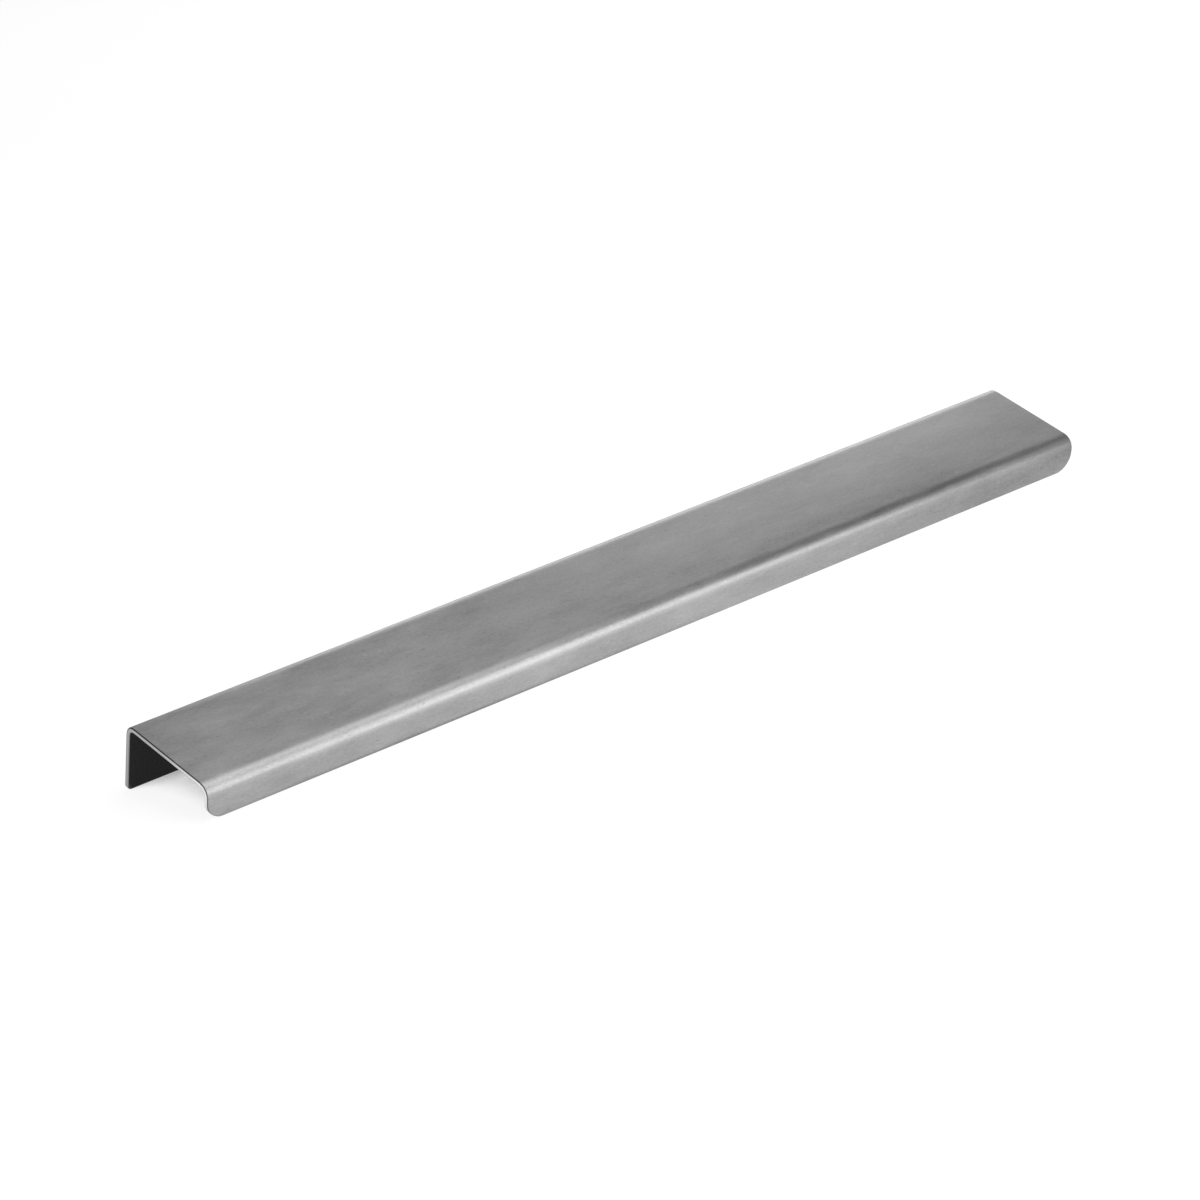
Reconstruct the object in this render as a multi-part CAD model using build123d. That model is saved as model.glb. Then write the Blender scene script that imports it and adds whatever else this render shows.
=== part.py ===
from build123d import *
import math
import os

# Lip pull for the top edge of a drawer front or a door: one strip of stainless
# sheet, bent twice into an uneven channel. The long flange hangs behind the
# front and is screwed to it, the top lies on the front's edge, and the short
# lip stands out before it for the fingers.
#
# The strip is drawn as it is fitted, with X along the pull, Y to the rear and
# its top face level at Z 0. It is then tipped to lie as it does unheld, on the
# ends of both flanges. Sizes are in millimetres.

# Strip
pull_length = 320.0
sheet_thickness = 1.5

# Section, over the outside faces
top_depth = 36.5
rear_flange_height = 21.0
lip_height = 10.5
rear_bend_inside_radius = 1.8
front_bend_inside_radius = 2.3

# Rounded lower corners of the two flanges, and the deburred edge of the sheet
lip_corner_radius = 5.5
rear_corner_radius = 1.2
arris_radius = 0.25

# Countersunk screw holes in the rear flange
screw_hole_count = 2
screw_hole_end_distance = 16.0
screw_hole_foot_distance = 8.0
screw_hole_radius = 2.25
screw_head_radius = 3.5
screw_head_angle = 90.0


def bent_section():
    """Cross-section of the bent strip: its outside line, thickened inwards."""
    front = -top_depth / 2
    rear = top_depth / 2
    outside_line = FilletPolyline(
        (front, -lip_height),
        (front, 0),
        (rear, 0),
        (rear, -rear_flange_height),
        radius=[
            front_bend_inside_radius + sheet_thickness,
            rear_bend_inside_radius + sheet_thickness,
        ],
    )
    outline = offset(outside_line, amount=sheet_thickness, side=Side.RIGHT)
    return Plane.YZ * make_face(outline.edges())


def foot_corners(strip, flange_height):
    """Edges through the sheet at both ends of one flange's foot."""
    foot, tolerance = -flange_height, 0.001
    across_sheet = strip.edges().filter_by(Axis.Y)
    return across_sheet.filter_by_position(Axis.Z, foot - tolerance, foot + tolerance)


def arrises(strip):
    """Edges round the cut of the sheet: not the bend lines, nor those through it."""
    left_sharp = (pull_length, sheet_thickness)
    return strip.edges().filter_by(
        lambda edge: not any(math.isclose(edge.length, length) for length in left_sharp)
    )


def screw_holes():
    """Cutters for the screws, which enter from behind the rear flange."""
    height = screw_hole_foot_distance - rear_flange_height
    rear_face = Plane(origin=(0, top_depth / 2, height), x_dir=(1, 0, 0), z_dir=(0, 1, 0))
    row_length = pull_length - 2 * screw_hole_end_distance
    row = GridLocations(row_length / (screw_hole_count - 1), 0, screw_hole_count, 1)
    hole = CounterSinkHole(
        screw_hole_radius, screw_head_radius, 2 * sheet_thickness, screw_head_angle
    )
    return [rear_face * place * hole for place in row]


def fitted_pull():
    """The finished strip in the attitude that it has on a drawer front."""
    strip = extrude(bent_section(), pull_length / 2, both=True)
    strip = fillet(foot_corners(strip, lip_height), lip_corner_radius)
    strip = fillet(foot_corners(strip, rear_flange_height), rear_corner_radius)
    strip = fillet(arrises(strip), arris_radius)
    return strip - screw_holes()


def laid_down(fitted):
    """Tips the pull onto the lip's outer and the rear flange's inner edge."""
    drop = rear_flange_height - lip_height
    tilt = math.degrees(math.atan2(drop, top_depth - sheet_thickness))
    tipped = Rot(X=tilt) * fitted
    box = tipped.bounding_box()
    return Pos(-box.center().X, -box.center().Y, -box.min.Z) * tipped


lip_pull = laid_down(fitted_pull())

os.makedirs("parts", exist_ok=True)
export_step(lip_pull, "parts/lip_pull.step")
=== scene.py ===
import math
import bpy
from mathutils import Matrix, Vector


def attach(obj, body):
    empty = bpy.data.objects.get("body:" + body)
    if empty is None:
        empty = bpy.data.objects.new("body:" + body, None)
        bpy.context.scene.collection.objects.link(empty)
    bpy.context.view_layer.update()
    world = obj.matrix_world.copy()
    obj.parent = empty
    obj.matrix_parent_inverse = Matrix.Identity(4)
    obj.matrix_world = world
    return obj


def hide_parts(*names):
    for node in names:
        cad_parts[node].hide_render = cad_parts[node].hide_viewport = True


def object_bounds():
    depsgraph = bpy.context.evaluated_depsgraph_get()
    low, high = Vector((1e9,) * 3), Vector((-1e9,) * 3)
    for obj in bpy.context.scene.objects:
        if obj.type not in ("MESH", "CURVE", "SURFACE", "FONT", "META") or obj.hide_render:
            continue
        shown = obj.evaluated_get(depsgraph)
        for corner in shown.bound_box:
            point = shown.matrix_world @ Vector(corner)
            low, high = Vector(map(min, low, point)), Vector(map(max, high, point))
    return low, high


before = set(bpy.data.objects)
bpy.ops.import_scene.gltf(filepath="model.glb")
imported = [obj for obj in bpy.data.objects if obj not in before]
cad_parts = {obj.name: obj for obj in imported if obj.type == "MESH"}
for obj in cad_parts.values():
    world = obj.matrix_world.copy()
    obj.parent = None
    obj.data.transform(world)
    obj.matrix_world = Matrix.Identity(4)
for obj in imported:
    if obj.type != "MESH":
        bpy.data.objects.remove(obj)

# Lip pull of brushed stainless sheet. The imported solid gives its place and size.
# Here the sheet is cut, drilled and bent again with fine bends, and gets its finish, with shade and
# highlights painted into it in places.

mm = 0.001
cadBox = [list(corner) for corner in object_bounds()]


# One strip of sheet, in millimetres
pull = {
    "length": 320.0,
    "sheet": 1.5,
    "depth": 36.5,
    "rearHeight": 21.0,
    "lipHeight": 10.5,
    "rearBend": (2.75, 1.7),  # outside radius of each bend, and how far it is eased in and out
    "frontBend": (3.48, 1.4),
    "lipCorner": 5.5,         # rounded corners of the blank
    "rearCorner": 1.2,
    "arris": 0.25,            # how far the cut edge is broken
    "paintedLineDepth": 0.42,        # the painted dark line of shade reaches this far down the cut
    "holeFromEnd": 16.0,
    "holeFromFoot": 8.0,
    "holeRadius": 2.25,
    "headRadius": 3.5,
    "holePatch": 5.0,         # half side of the square of mesh round a hole
    "bendSteps": 40,          # mesh faces across each bend
    "cornerSteps": 14,
    "arrisSteps": 4,
    "holeSteps": 12,          # along each side of the square round a hole
    "topSteps": 10,
    "rearSteps": 2,           # from the rear bend to the holes
    "lengthSteps": 40,        # from hole to hole
    "endSteps": 6,            # from a hole to the pull's end
}
# how far the top leans forwards as the pull lies unheld
tilt = math.atan2(pull["rearHeight"] - pull["lipHeight"], pull["depth"] - pull["sheet"])
fineStep = 0.01               # of the walk along the section
brushed, cutEdge, paintedShadeLine, millAndShadeInside = range(4)  # the finishes, with the painted dark line of shade, in the order of their slots


def bendTurn(along, bend):  # how far the sheet has turned, this far into a bend
    radius, ease = bend
    arc = radius * math.pi / 2

    def summed(u):
        u = max(u, 0.0)
        return u * u / (2 * radius) if u < arc else arc * arc / (2 * radius) + (u - arc) * math.pi / 2

    return (summed(along) - summed(along - 2 * ease)) / (2 * ease)


def bendSpan(bend):  # arc length of a bend, and how far it reaches along each of its two faces
    radius, ease = bend
    span = radius * math.pi / 2 + 2 * ease
    steps = round(span / fineStep)
    reach = sum(math.cos(bendTurn((k + 0.5) * span / steps, bend)) for k in range(steps)) * span / steps
    return span, reach


frontSpan, frontReach = bendSpan(pull["frontBend"])
rearSpan, rearReach = bendSpan(pull["rearBend"])
frontStart = pull["lipHeight"] - frontReach       # arc lengths from the lip's foot
frontEnd = frontStart + frontSpan
rearStart = frontEnd + pull["depth"] - frontReach - rearReach
rearEnd = rearStart + rearSpan
blankWidth = rearEnd + pull["rearHeight"] - rearReach


def turnAt(s):  # how far the sheet has turned at arc length s
    return (bendTurn(min(max(s - frontStart, 0.0), frontSpan), pull["frontBend"])
            + bendTurn(min(max(s - rearStart, 0.0), rearSpan), pull["rearBend"]))


def walkSection():  # outer line of the section, from the lip's foot to the rear foot
    y, z, line = -pull["depth"] / 2, -pull["lipHeight"], []
    for k in range(round(blankWidth / fineStep) + 2):
        line.append((y, z))
        turn = turnAt((k + 0.5) * fineStep)
        y, z = y + math.sin(turn) * fineStep, z + math.cos(turn) * fineStep
    return line


sectionLine = walkSection()


def bendAt(s):  # outer face of the section at arc length s: y, z and turn
    k = int(s / fineStep)
    part = s / fineStep - k
    (y0, z0), (y1, z1) = sectionLine[k], sectionLine[k + 1]
    return y0 + (y1 - y0) * part, z0 + (z1 - z0) * part, turnAt(s)


def spread(stops, steps):  # values from stop to stop, evenly spaced in each stretch
    values = [stops[0]]
    for start, end, count in zip(stops, stops[1:], steps):
        values += [start + (end - start) * k / count for k in range(1, count + 1)]
    return values


def bentPoint(x, s, depth):  # depth is below the outer face
    y, z, turn = bendAt(min(max(s, 0.0), blankWidth))
    beyond = s - min(max(s, 0.0), blankWidth)
    y += depth * math.cos(turn) + beyond * math.sin(turn)
    z += -depth * math.sin(turn) + beyond * math.cos(turn)
    return Vector((x, y, z))


def bentNormal(s, alongX, alongS, inward):  # turns a direction of the blank with the bend
    turn = bendAt(min(max(s, 0.0), blankWidth))[2]
    y = alongS * math.sin(turn) + inward * math.cos(turn)
    z = alongS * math.cos(turn) - inward * math.sin(turn)
    return Vector((alongX, y, z))


def blankRows():  # for each row: s, half its length, and the way out of the blank at its end
    half, arris, cornerSteps = pull["length"] / 2, pull["arris"], pull["cornerSteps"]
    quarter = [math.pi / 2 * k / cornerSteps for k in range(cornerSteps + 1)]
    lip, rear = pull["lipCorner"], pull["rearCorner"]
    rows = [(lip - (lip - arris) * math.cos(t), half - lip + (lip - arris) * math.sin(t),
             math.sin(t), -math.cos(t)) for t in quarter]
    holeRow = blankWidth - pull["holeFromFoot"]
    stops = [lip, frontStart, frontEnd, rearStart, rearEnd, holeRow - pull["holePatch"],
             holeRow + pull["holePatch"], blankWidth - rear]
    steps = [1, pull["bendSteps"], pull["topSteps"], pull["bendSteps"], pull["rearSteps"],
             pull["holeSteps"], 1]
    rows += [(s, half - arris, 1.0, 0.0) for s in spread(stops, steps)[1:-1]]
    rows += [(blankWidth - rear + (rear - arris) * math.cos(t), half - rear + (rear - arris) * math.sin(t),
              math.sin(t), math.cos(t)) for t in reversed(quarter)]
    return rows, holeRow


class Sheet:  # collects the strip's vertices and faces, in blank coordinates and bent as they come
    def __init__(self):
        self.points, self.normals, self.faces, self.finish, self.corners = [], [], [], [], []

    def vertex(self, x, s, depth, normal):  # the normal is the blank's, and is bent with the point
        self.points.append(bentPoint(x, s, depth))
        self.normals.append(bentNormal(s, *normal))
        return len(self.points) - 1

    def face(self, ids, finish, normals=None):
        self.faces.append(ids)
        self.finish.append(finish)
        self.corners += normals or [self.normals[i] for i in ids]


def buildStrip():
    rows, holeRow = blankRows()
    half, arris, sheet = pull["length"] / 2 - pull["arris"], pull["arris"], pull["sheet"]
    hole, patch = pull["length"] / 2 - pull["holeFromEnd"], pull["holePatch"]
    ends, holeSteps = pull["endSteps"], pull["holeSteps"]
    columns = spread([-half, -hole - patch, -hole + patch, hole - patch, hole + patch, half],
                     [ends, holeSteps, pull["lengthSteps"], holeSteps, ends])
    rowCount, columnCount = len(rows), len(columns)
    firstHoleRow = next(r for r, row in enumerate(rows) if math.isclose(row[0], holeRow - patch))
    holeRows = range(firstHoleRow, firstHoleRow + holeSteps)
    firstColumns = (ends, columnCount - 1 - ends - holeSteps)
    strip = Sheet()

    def columnAt(x, rowEnd):  # the columns past the holes close up where a corner is rounded
        fixed = hole + patch
        if abs(x) <= fixed:
            return x
        return math.copysign(fixed + (abs(x) - fixed) * (rowEnd - fixed) / (half - fixed), x)

    def inPatch(r, c):
        return r in holeRows and any(c in range(first, first + holeSteps) for first in firstColumns)

    skins = []
    for depth, inward in ((0.0, -1.0), (sheet, 1.0)):  # outer side, then inner side
        grid = [[strip.vertex(columnAt(x, end), s, depth, (0, 0, inward)) for x in columns]
                for s, end, _, _ in rows]
        for r in range(rowCount - 1):
            for c in range(columnCount - 1):
                if not inPatch(r, c):
                    quad = [grid[r][c], grid[r][c + 1], grid[r + 1][c + 1], grid[r + 1][c]]
                    if inward < 0:
                        strip.face(quad, brushed)
                    else:
                        strip.face(quad[::-1], millAndShadeInside)
        skins.append(grid)

    def around(grid, rowRange, columnRange):  # loop round a block of the grid, as seen from outside
        r0, r1, c0, c1 = rowRange[0], rowRange[1], columnRange[0], columnRange[1]
        places = [(r0, c) for c in range(c0, c1)] + [(r, c1) for r in range(r0, r1)]
        places += [(r1, c) for c in range(c1, c0, -1)] + [(r, c0) for r in range(r1, r0, -1)]
        return [grid[r][c] for r, c in places], places

    # the cut edge, with both of its arrises rounded
    outerLoop, places = around(skins[0], (0, rowCount - 1), (0, columnCount - 1))
    innerLoop, _ = around(skins[1], (0, rowCount - 1), (0, columnCount - 1))
    arrisSteps = pull["arrisSteps"]
    edgeTurns = [math.pi / 2 * k / arrisSteps for k in range(1, arrisSteps + 1)]
    profile = [(arris * math.sin(t), arris * (1 - math.cos(t)), math.sin(t), -math.cos(t))
               for t in edgeTurns]
    innerHalf = [(out, sheet - depth, outward, -inward)
                 for out, depth, outward, inward in reversed(profile)]
    # the painted dark line of shade runs round the outer arris and down the cut to this depth
    profile += [(arris, pull["paintedLineDepth"], 1.0, 0.0)] + innerHalf
    finishes = [brushed] + [paintedShadeLine] * arrisSteps + [cutEdge] + [millAndShadeInside] * arrisSteps
    loops = [outerLoop]
    for out, depth, outward, inward in profile:
        loop = []
        for r, c in places:
            s, end, wayX, wayS = rows[r]
            side = math.copysign(1, columns[c])
            inside = 0 < c < columnCount - 1
            wayX, wayS = (0.0, math.copysign(1, wayS)) if inside else (wayX * side, wayS)
            x = columnAt(columns[c], end) + out * wayX
            loop.append(strip.vertex(x, s + out * wayS, depth, (outward * wayX, outward * wayS, inward)))
        loops.append(loop)
    loops.append(innerLoop)
    for finish, outer, inner in zip(finishes, loops, loops[1:]):
        for i in range(len(outer)):
            j = (i + 1) % len(outer)
            strip.face([outer[i], inner[i], inner[j], outer[j]], finish)

    # the countersunk screw holes
    for centre, first in zip((-hole, hole), firstColumns):
        span = (first, first + holeSteps)
        block = (firstHoleRow, firstHoleRow + holeSteps)
        outerSquare, _ = around(skins[0], block, span)
        innerSquare, _ = around(skins[1], block, span)
        count = len(outerSquare)
        corner = -0.75 * math.pi  # the squares begin at this corner, so the rings do too
        turns = [corner + 2 * math.pi * k / count for k in range(count)]
        rings = []
        for radius, depth in ((pull["headRadius"], 0.0),
                              (pull["holeRadius"], pull["headRadius"] - pull["holeRadius"]),
                              (pull["holeRadius"], sheet)):
            rings.append([strip.vertex(centre + radius * math.cos(t), holeRow + radius * math.sin(t), depth,
                                       (0, 0, -1)) for t in turns])
        slant = 0.5 ** 0.5  # the countersink slopes at 45 degrees
        walls = [
            (outerSquare, rings[0], 0.0, -1.0, brushed),
            (rings[0], rings[1], slant, -slant, cutEdge),
            (rings[1], rings[2], 1.0, 0.0, cutEdge),
            (rings[2], innerSquare, 0.0, 1.0, millAndShadeInside),
        ]
        for near, far, inwards, depthwise, finish in walls:
            for i in range(count):
                j = (i + 1) % count
                facing = [bentNormal(holeRow, -inwards * math.cos(turns[k]), -inwards * math.sin(turns[k]),
                                     depthwise) for k in (i, j, j, i)]
                strip.face([near[i], near[j], far[j], far[i]], finish, facing)
    return strip


def layDown(strip):  # tips the strip onto its lip's foot and its rear foot, as it lies unheld
    tip = Matrix.Rotation(tilt, 3, "X")
    points = [tip @ point for point in strip.points]
    middle = (min(p.y for p in points) + max(p.y for p in points)) / 2
    lowest = min(p.z for p in points)
    return [(p - Vector((0, middle, lowest))) * mm for p in points], [tip @ n for n in strip.corners]


strip = buildStrip()
points, cornerNormals = layDown(strip)
mesh = bpy.data.meshes.new("brushedStrip")
mesh.from_pydata(points, [], strip.faces)
mesh.polygons.foreach_set("material_index", strip.finish)
mesh.polygons.foreach_set("use_smooth", [True] * len(strip.faces))
mesh.normals_split_custom_set(cornerNormals)
mesh.validate()
mesh.update()
pullPiece = bpy.data.objects.new("brushed_strip", mesh)
bpy.context.scene.collection.objects.link(pullPiece)
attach(pullPiece, "root")
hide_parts("lip_pull")
print("strip bent:", len(points), "vertices,", len(strip.faces), "faces")


# Shader maths is written with these: a Wire is one output, and sums of Wires make nodes
class Wire:
    def __init__(self, bench, socket):
        self.bench, self.socket = bench, socket

    def maths(self, operation, first, second):
        if self.socket.type in ("VECTOR", "RGBA"):
            return self.bench.node("ShaderNodeVectorMath", {"operation": operation}, {0: first, 1: second})
        return self.bench.node("ShaderNodeMath", {"operation": operation}, {0: first, 1: second})

    def __add__(self, other):
        return self.maths("ADD", self, other)

    def __sub__(self, other):
        return self.maths("SUBTRACT", self, other)

    def __rsub__(self, other):
        return self.maths("SUBTRACT", other, self)

    def __mul__(self, other):
        return self.maths("MULTIPLY", self, other)

    __radd__ = __add__
    __rmul__ = __mul__


class Bench:  # one node tree
    def __init__(self, owner):
        owner.use_nodes = True
        self.tree = owner.node_tree
        self.tree.nodes.clear()

    def node(self, kind, settings=None, values=None, output=0):
        made = self.tree.nodes.new(kind)
        for name, value in (settings or {}).items():
            if name == "stops":
                while len(made.color_ramp.elements) < len(value):
                    made.color_ramp.elements.new(1.0)
                for element, (position, colour) in zip(made.color_ramp.elements, value):
                    element.position, element.color = position, colour
            else:
                setattr(made, name, value)
        for name, value in (values or {}).items():
            if isinstance(value, Wire):
                self.tree.links.new(value.socket, made.inputs[name])
            else:
                made.inputs[name].default_value = value
        return Wire(self, made.outputs[output]) if len(made.outputs) else made

    def mix(self, factor, first, second):  # blends two colours
        return self.node("ShaderNodeMix", {"data_type": "RGBA"}, {0: factor, 6: first, 7: second}, 2)

    def noise(self, place, repeats, detail=2.0):  # repeats per metre along x, y and z
        return self.node("ShaderNodeTexNoise", {"noise_dimensions": "3D"},
                         {"Vector": place * repeats, "Scale": 1.0, "Detail": detail})


steel = {
    "bright": (0.536, 0.536, 0.536, 1.0),
    "dull": (0.107, 0.107, 0.107, 1.0),
    "evenTone": 2 / 3,        # how far towards the bright grey the plain brushing lies
    "roughness": 0.357,
    "anisotropic": 0.71,      # the gloss spreads across the brushing
    "edgeTint": (0.70, 0.70, 0.70, 1.0),   # keeps the steel grey where it is seen edge-on
    # the gloss is drawn out along circles round this point, so far off that they cross the brushing
    "glossCentre": (-10.0, 0.0, 0.0),
    # each layer of the finish: repeats per metre along and across the pull, and its strength
    "grain": (1000.0, 2600.0, 0.56),
    "lines": (110.0, 1500.0, 0.16),
    "streaks": (140.0, 480.0, 0.27),
    "mottle": (50.0, 150.0, 0.40),
    "clouds": (18.0, 50.0, 0.45),
    "marks": (500.0, 1500.0, 0.5),
    # dark nicks and bright glints: the levels of the marks at which they begin and are whole, and how
    # much they shade the steel
    "nicks": (0.09, 0.13, 0.24),
    "glints": (-0.10, -0.14, 0.26),
    # what the mottle with the clouds, and the lines with the streaks, add to the roughness
    "shadingRoughens": 0.12,
    "brushingRoughens": 0.25,
    # how high each layer stands in the bump, and the bump's own strength and height in metres
    "relief": {"grain": 0.8, "brushing": 2.5, "nicks": 0.3},
    "bump": {"Strength": 0.25, "Distance": 0.00002},
    # soft patches of the brushing, most of them painted shade and painted highlight: their middles, how far
    # they reach, and how much duller each is
    "paintedLightPatches": [
        ((0.175, -0.019, 0.004), (0.17, 0.02, 0.010), 0.42),       # painted shade, the lip's right end
        ((0.170, -0.0198, 0.0075), (0.03, 0.004, 0.004), 0.24),    # painted shade, the upper side of that end
        ((-0.120, -0.0185, 0.003), (0.025, 0.01, 0.005), 0.18),    # a spot on the lip
        ((-0.050, -0.0198, 0.0062), (0.07, 0.01, 0.006), -0.15),   # brighter, the lip's middle
        ((-0.165, 0.006, 0.017), (0.03, 0.016, 0.02), 0.16),       # painted shade, the top's left rear corner
        ((-0.080, -0.0182, 0.0002), (0.13, 0.0015, 0.0011), 0.45),  # painted shade, the lip's foot
        ((-0.060, -0.0200, 0.0078), (0.11, 0.002, 0.0013), -0.30),  # brighter, painted highlight on the front bend's lower side
        ((-0.150, -0.0197, 0.0094), (0.16, 0.0018, 0.0013), 0.20),  # painted shade along the front bend's left half
        ((0.150, -0.0195, 0.0099), (0.12, 0.0014, 0.0010), -0.30),  # brighter, painted highlight at the same line's right end
        ((0.070, -0.0165, 0.012), (0.12, 0.010, 0.0035), 0.26),    # painted shade beside the front bend
        ((0.110, 0.009, 0.0190), (0.20, 0.023, 0.020), -0.27),     # brighter, painted light towards the right rear
        ((-0.150, -0.015, 0.0118), (0.04, 0.008, 0.004), -0.14),   # brighter, painted light on the top's left front corner
        ((-0.110, 0.0124, 0.0198), (0.12, 0.0028, 0.003), -0.42),  # brighter, painted highlight on the rear bend's left end
    ],
    "inside": ((0.0, 0.26), (1.0, 0.24)),   # mill finish, never brushed, and darker partly as painted shade inside the channel
    "insideRoughness": 0.28,
    # shades of the cut edge and of the painted dark line of shade along its outer arris, from the lip to the
    # rear flange
    # the cut edge's shades paint a highlight near the lip and shade towards the rear flange
    "cut": ((0.0, 0.96), (0.15, 0.85), (0.45, 0.50), (0.80, 0.46), (0.90, 0.40), (1.0, 0.37)),
    "cutRoughness": 0.38,
    "paintedLineShades": ((0.0, 0.22), (0.2, 0.11), (0.78, 0.05), (0.86, 0.30), (1.0, 0.30)),
    "paintedLineRoughness": 0.5,
    # faint marks of the unbrushed steel: repeats per metre, then how far towards the full shade it lies,
    # how much that varies, how dark the darkest is, and how much they roughen it
    "faintMarks": (1500.0, 0.7, 0.8, 0.7, 0.15),
}


def layer(bench, place, name, detail=2.0):  # noise about zero, drawn out along the pull
    along, across, strength = steel[name]
    return (bench.noise(place, (along, across, across), detail) - 0.5) * strength


def softPatch(bench, place, middle, reach, strength):  # fades out at its reach
    offset = (place - middle) * tuple(1 / part for part in reach)
    distance = bench.node("ShaderNodeVectorMath", {"operation": "LENGTH"}, {0: offset}, "Value")
    faded = bench.node("ShaderNodeMapRange", {"interpolation_type": "SMOOTHSTEP"}, {"Value": distance})
    return strength - strength * faded


def fleck(bench, marks, name):  # how far a small mark has come up, and how strongly it shades
    start, whole, strength = steel[name]
    up = bench.node("ShaderNodeMapRange", {}, {"Value": marks, "From Min": start, "From Max": whole})
    return up, strength


def brushedSteel():
    material = bpy.data.materials.new("brushedSteel")
    bench = Bench(material)
    place = bench.node("ShaderNodeTexCoord", output="Object")
    grain = layer(bench, place, "grain")
    brushing = layer(bench, place, "lines") + layer(bench, place, "streaks")
    shading = layer(bench, place, "mottle") + layer(bench, place, "clouds", 3.0)
    marks = layer(bench, place, "marks", 1.0)
    nicks, darker = fleck(bench, marks, "nicks")
    glints, lighter = fleck(bench, marks, "glints")
    # the soft patches paint shade and highlight into the brushing's brightness
    paintedLightAndShade = sum(softPatch(bench, place, *shape) for shape in steel["paintedLightPatches"])
    brightness = 1 + shading + brushing + grain - nicks * darker + glints * lighter - paintedLightAndShade
    brightness = brightness * steel["evenTone"]
    roughness = steel["roughness"] + shading * steel["shadingRoughens"]
    roughness = roughness + brushing * steel["brushingRoughens"]
    relief = steel["relief"]
    height = grain * relief["grain"] + brushing * relief["brushing"] - nicks * relief["nicks"]
    normal = bench.node("ShaderNodeBump", {}, {"Height": height, **steel["bump"]})
    shader = bench.node("ShaderNodeBsdfPrincipled", {}, {
        "Base Color": bench.mix(brightness, steel["dull"], steel["bright"]), "Metallic": 1.0,
        "Roughness": roughness, "Anisotropic": steel["anisotropic"], "Normal": normal,
        "Specular Tint": steel["edgeTint"],
    })
    bench.node("ShaderNodeOutputMaterial", {}, {"Surface": shader})
    return material


def plainSteel(name, shades, roughness):  # shades of grey, from the lip to the rear flange
    material = bpy.data.materials.new(name)
    bench = Bench(material)
    place = bench.node("ShaderNodeTexCoord", output="Object")
    repeats, usual, varies, darkest, roughens = steel["faintMarks"]
    marks = bench.noise(place, (repeats, repeats, repeats)) - 0.5
    rearward = bench.node("ShaderNodeSeparateXYZ", {}, {"Vector": place}, "Y")
    part = bench.node("ShaderNodeMapRange", {},
                      {"Value": rearward, "From Min": cadBox[0][1], "From Max": cadBox[1][1]})
    stops = [(position, (shade, shade, shade, 1.0)) for position, shade in shades]
    colour = bench.node("ShaderNodeValToRGB", {"stops": stops}, {"Fac": part})
    shader = bench.node("ShaderNodeBsdfPrincipled", {}, {
        "Base Color": bench.mix(usual + marks * varies, colour * (darkest, darkest, darkest), colour),
        "Metallic": 1.0, "Roughness": roughness + marks * roughens,
    })
    bench.node("ShaderNodeOutputMaterial", {}, {"Surface": shader})
    return material


mesh.materials.append(brushedSteel())
# the cut edge, with a painted highlight near the lip and painted shade towards the rear flange
mesh.materials.append(plainSteel("cutSteel", steel["cut"], steel["cutRoughness"]))
# a painted dark line of shade along the cut's outer arris
mesh.materials.append(plainSteel("paintedShadeLine", steel["paintedLineShades"], steel["paintedLineRoughness"]))
# the inside is darker than the brushing, partly as painted shade
mesh.materials.append(plainSteel("millAndShadeSteel", steel["inside"], steel["insideRoughness"]))
# the shader takes the direction of its gloss from these generated coordinates
mesh.use_auto_texspace = False
mesh.texspace_location = steel["glossCentre"]
mesh.texspace_size = (1.0, 1.0, 1.0)
print("steel finished")


# Stage: a white floor that keeps the pull's shadow, with a painted shadow under the channel that only the
# metal sees, and a pale room
stage = {
    "floorSize": 12.0,
    "glow": 0.90,             # what the floor shows by itself to the camera and in the metal
    "albedo": 0.20,
    "shadowReach": 0.03,
    "shadowSamples": 16,
    "shadowSeen": (0.0, 0.28),           # openness at which the glow begins and is whole, for the camera
    # the painted shadow on the floor under the channel, which only the metal mirrors: its middle, half its
    # size, how far it fades, and what is left of its glow
    "paintedChannelShadow": ((0.0, 0.0028, 0.0), (0.158, 0.0157, 0.0), 0.0035, 0.07),
    "horizon": (1.0, 1.0, 1.0, 1.0),
    "dome": (0.24, 0.24, 0.24, 1.0),
    "domeFrom": 0.20,         # how high a direction points, up to 1, where the dome's grey is whole
}


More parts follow.
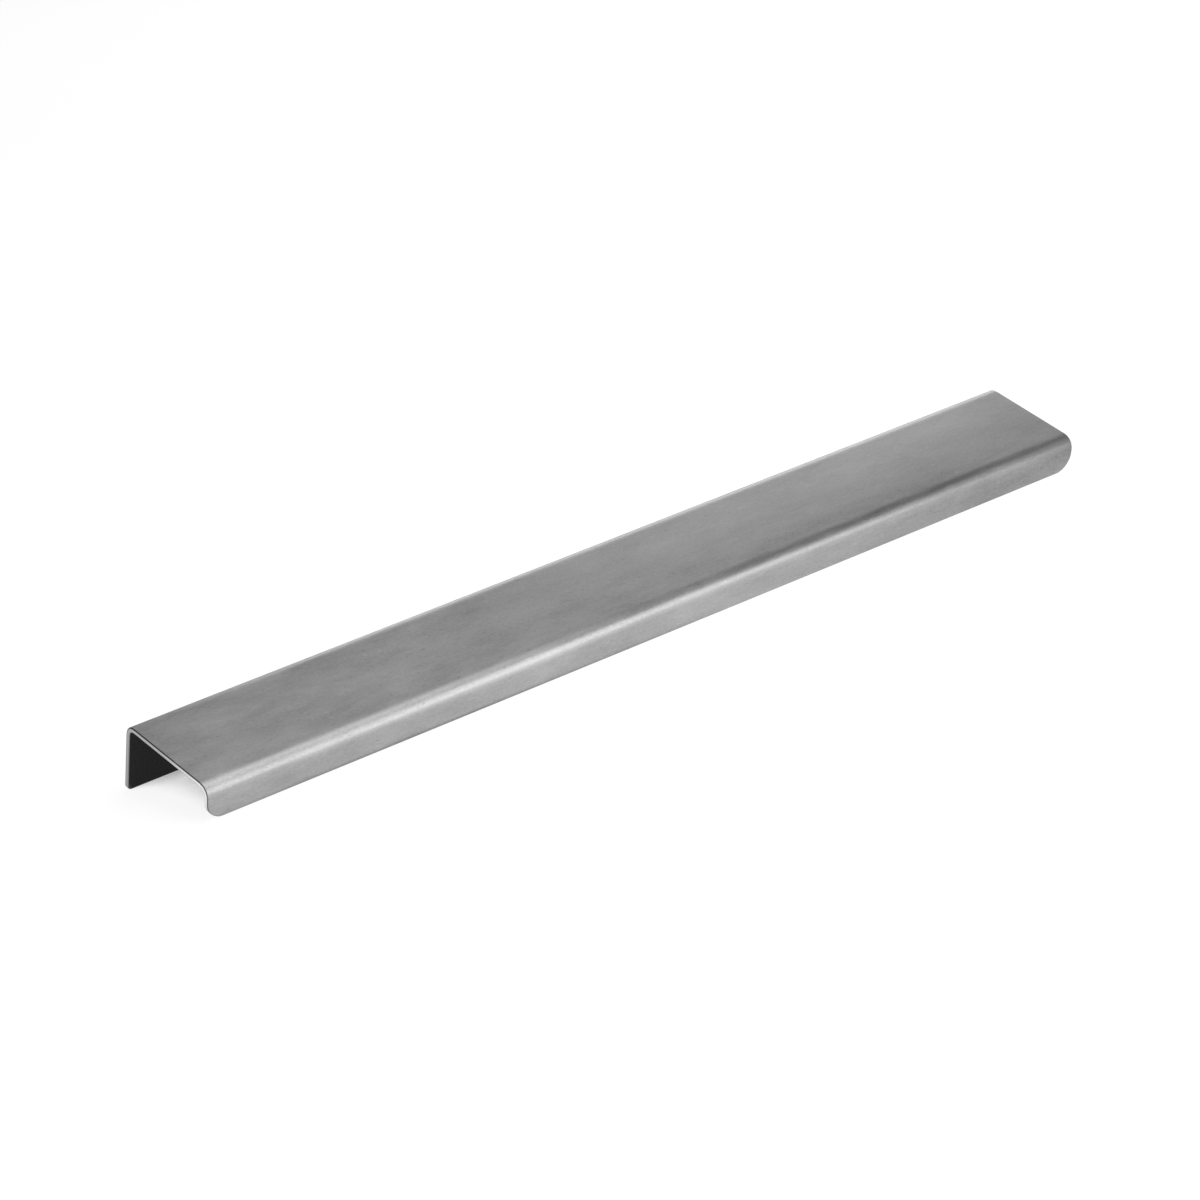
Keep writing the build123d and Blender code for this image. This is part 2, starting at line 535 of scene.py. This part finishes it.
def makeFloor():
    half = stage["floorSize"] / 2
    corners = [(-half, -half, 0), (half, -half, 0), (half, half, 0), (-half, half, 0)]
    floorMesh = bpy.data.meshes.new("floor")
    floorMesh.from_pydata(corners, [], [(0, 1, 2, 3)])
    floor = bpy.data.objects.new("floor", floorMesh)
    bpy.context.scene.collection.objects.link(floor)
    material = bpy.data.materials.new("floor")
    bench = Bench(material)
    ray = "ShaderNodeLightPath"
    openness = bench.node("ShaderNodeAmbientOcclusion", {"samples": stage["shadowSamples"]},
                          {"Distance": stage["shadowReach"]}, "AO")
    shut, whole = stage["shadowSeen"]
    seen = bench.node("ShaderNodeMapRange", {}, {"Value": openness, "From Min": shut, "From Max": whole})
    place = bench.node("ShaderNodeTexCoord", output="Object")
    # a painted shadow under the channel, shown only in the metal
    middle, halfSize, fade, left = stage["paintedChannelShadow"]
    away = bench.node("ShaderNodeVectorMath", {"operation": "ABSOLUTE"}, {0: place - middle}) - halfSize
    away = bench.node("ShaderNodeVectorMath", {"operation": "MAXIMUM"}, {0: away, 1: (0, 0, 0)})
    away = bench.node("ShaderNodeVectorMath", {"operation": "LENGTH"}, {0: away}, "Value")
    outsidePaintedShadow = bench.node("ShaderNodeMapRange", {"interpolation_type": "SMOOTHSTEP"},
                           {"Value": away, "From Max": fade, "To Min": left})
    mirrored = bench.node(ray, output="Is Glossy Ray") + bench.node(ray, output="Is Transmission Ray")
    shown = bench.node(ray, output="Is Camera Ray") * seen + mirrored * outsidePaintedShadow
    glow = bench.node("ShaderNodeEmission", {}, {
        "Color": bench.mix(shown, (0, 0, 0, 1), (1, 1, 1, 1)), "Strength": stage["glow"],
    })
    albedo = stage["albedo"]
    paint = bench.node("ShaderNodeBsdfDiffuse", {}, {"Color": (albedo, albedo, albedo, 1.0)})
    both = bench.node("ShaderNodeAddShader", {}, {0: glow, 1: paint})
    bench.node("ShaderNodeOutputMaterial", {}, {"Surface": both})
    floorMesh.materials.append(material)


def makeWorld():
    world = bpy.data.worlds.new("room")
    bpy.context.scene.world = world
    bench = Bench(world)
    direction = bench.node("ShaderNodeTexCoord", output="Generated")
    height = bench.node("ShaderNodeSeparateXYZ", {}, {"Vector": direction}, "Z")
    rise = bench.node("ShaderNodeMapRange", {"interpolation_type": "SMOOTHSTEP"},
                      {"Value": height, "From Min": 0.0, "From Max": stage["domeFrom"]})
    colour = bench.mix(rise, stage["horizon"], stage["dome"])
    background = bench.node("ShaderNodeBackground", {}, {"Color": colour, "Strength": 1.0})
    bench.node("ShaderNodeOutputWorld", {}, {"Surface": background})


# level is how bright a lamp's face is
lamps = {
    "overhead": {"at": (0.116, -0.22, 0.7), "aim": (0.116, -0.22, 0.0), "size": (0.63, 0.65), "level": 1.58},
    "front": {"at": (0.313, -0.75, 0.363), "aim": (0.313, 0.0, 0.363), "size": (0.81, 0.72), "level": 2.13},
    "back": {"at": (1.10, 0.935, 0.9), "aim": (1.10, 0.935, 0.0), "size": (0.50, 0.68), "level": 1.15},
    "rear": {"at": (1.0, 0.9, 0.51), "aim": (1.0, 0.0, 0.51), "size": (1.04, 0.54), "level": 2.0},
}


def makeLamps():
    for name, lamp in lamps.items():
        light = bpy.data.lights.new(name, "AREA")
        light.shape = "RECTANGLE"
        light.size, light.size_y = lamp["size"]
        light.energy = math.pi * lamp["level"] * light.size * light.size_y
        lampObject = bpy.data.objects.new(name, light)
        bpy.context.scene.collection.objects.link(lampObject)
        lampObject.visible_camera = False
        lampObject.location = lamp["at"]
        shines = Vector(lamp["aim"]) - Vector(lamp["at"])
        lampObject.rotation_euler = shines.to_track_quat("-Z", "Y").to_euler()


# The photograph's view. Azimuth is clockwise from +Y, seen from above, and roll turns the picture.
viewpoint = {
    "aim": (-0.005993, 0.003471, 0.007345),
    "distance": 1.3327,
    "azimuth": 37.659,
    "elevation": 20.107,
    "roll": -6.966,
    "lens": 141.463,
    "sensor": 36.0,
    "clip": (0.01, 50.0),     # nearest and furthest that it sees, in metres
}


def makeCamera():
    camera = bpy.data.cameras.new("camera")
    camera.lens, camera.sensor_width = viewpoint["lens"], viewpoint["sensor"]
    camera.clip_start, camera.clip_end = viewpoint["clip"]
    holder = bpy.data.objects.new("camera", camera)
    bpy.context.scene.collection.objects.link(holder)
    azimuth, elevation = math.radians(viewpoint["azimuth"]), math.radians(viewpoint["elevation"])
    forward = Vector((math.sin(azimuth) * math.cos(elevation), math.cos(azimuth) * math.cos(elevation),
                      -math.sin(elevation)))
    level = forward.cross(Vector((0, 0, 1))).normalized()
    right = Matrix.Rotation(-math.radians(viewpoint["roll"]), 3, forward) @ level
    up = right.cross(forward)
    place = Matrix.Translation(Vector(viewpoint["aim"]) - forward * viewpoint["distance"])
    holder.matrix_world = place @ Matrix((right, up, -forward)).transposed().to_4x4()
    bpy.context.scene.camera = holder


makeFloor()
makeWorld()
makeLamps()
makeCamera()
bpy.context.scene.view_settings.view_transform = "Standard"
print("stage, lamps and camera set")
